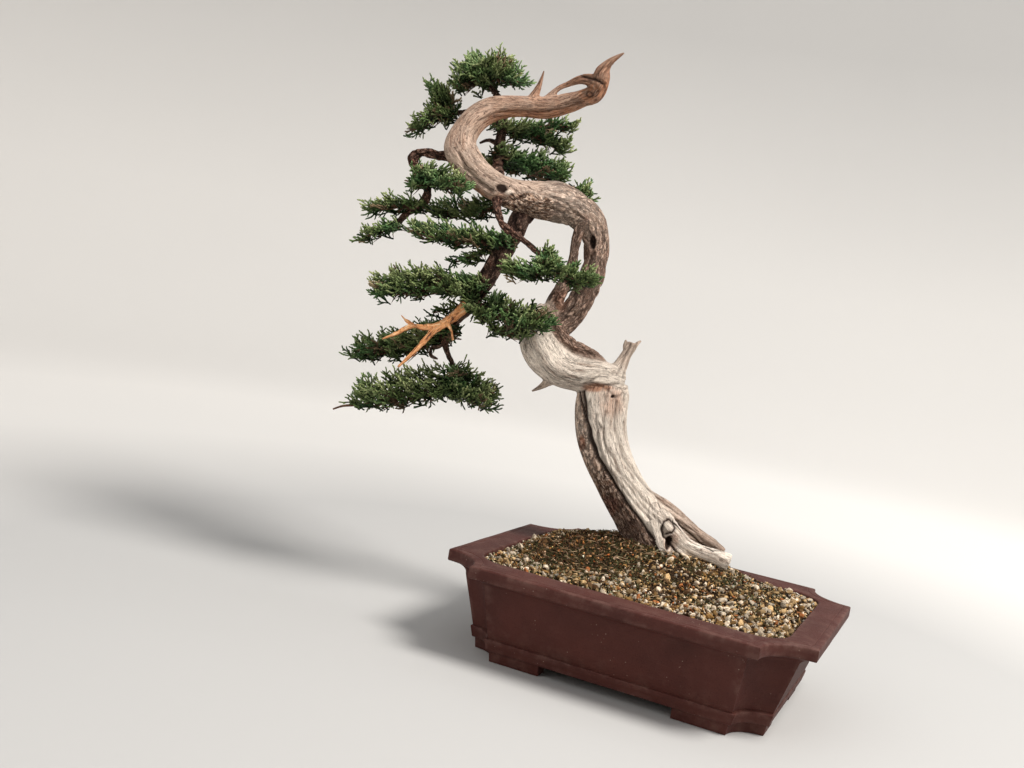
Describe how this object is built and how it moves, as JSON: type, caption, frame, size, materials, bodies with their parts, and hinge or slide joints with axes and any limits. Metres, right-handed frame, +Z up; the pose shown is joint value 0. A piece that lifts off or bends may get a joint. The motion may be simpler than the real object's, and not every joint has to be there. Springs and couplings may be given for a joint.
{
  "type": "shimpaku juniper bonsai",
  "caption": "Juniper bonsai with a twisted, partly bare trunk that leans out of a rectangular footed pot, with layered leafy sprays on slim branches.",
  "frame": {"origin": "middle of the whole object's footprint box, on the surface that the pot's feet stand on", "axes": "+Z up along the whole height, +X along the pot's long side with the foliage leaning out towards -X, +Y away from the pot's front along its short side"},
  "size_m": [0.5209, 0.267, 0.5644],
  "materials": {
    "pot": "unglazed dark purple-brown stoneware, satin",
    "soil": "coarse grains of pumice and fired clay, matte",
    "drain_mesh": "black plastic mesh, matte",
    "trunk": "bare grooved deadwood with strips of dark bark, matte",
    "bark": "brushed red-brown bark, matte",
    "stripped": "freshly stripped orange wood, satin",
    "foliage": "green scale leaves on fine twigs, satin"
  },
  "bodies": {
    "root": {"pot": "pot", "drain_mesh_left": "drain_mesh", "drain_mesh_right": "drain_mesh", "soil": "soil", "trunk": "trunk", "main_branch": "bark", "left_branch": "bark", "rear_branch": "bark", "front_branch": "bark", "stripped_branch": "stripped", "spray_apex": "foliage", "spray_upper_left": "foliage", "spray_upper_right": "foliage", "spray_inside_bend": "foliage", "spray_right": "foliage", "spray_under_knob": "foliage", "spray_far_left_upper": "foliage", "spray_far_left_lower": "foliage", "spray_middle_left": "foliage", "spray_behind_left": "foliage", "spray_under_middle": "foliage", "spray_left": "foliage", "spray_front": "foliage", "spray_lower_front": "foliage", "spray_small_left": "foliage", "spray_behind_stripped": "foliage", "spray_lowest": "foliage"}
  },
  "joints": []
}
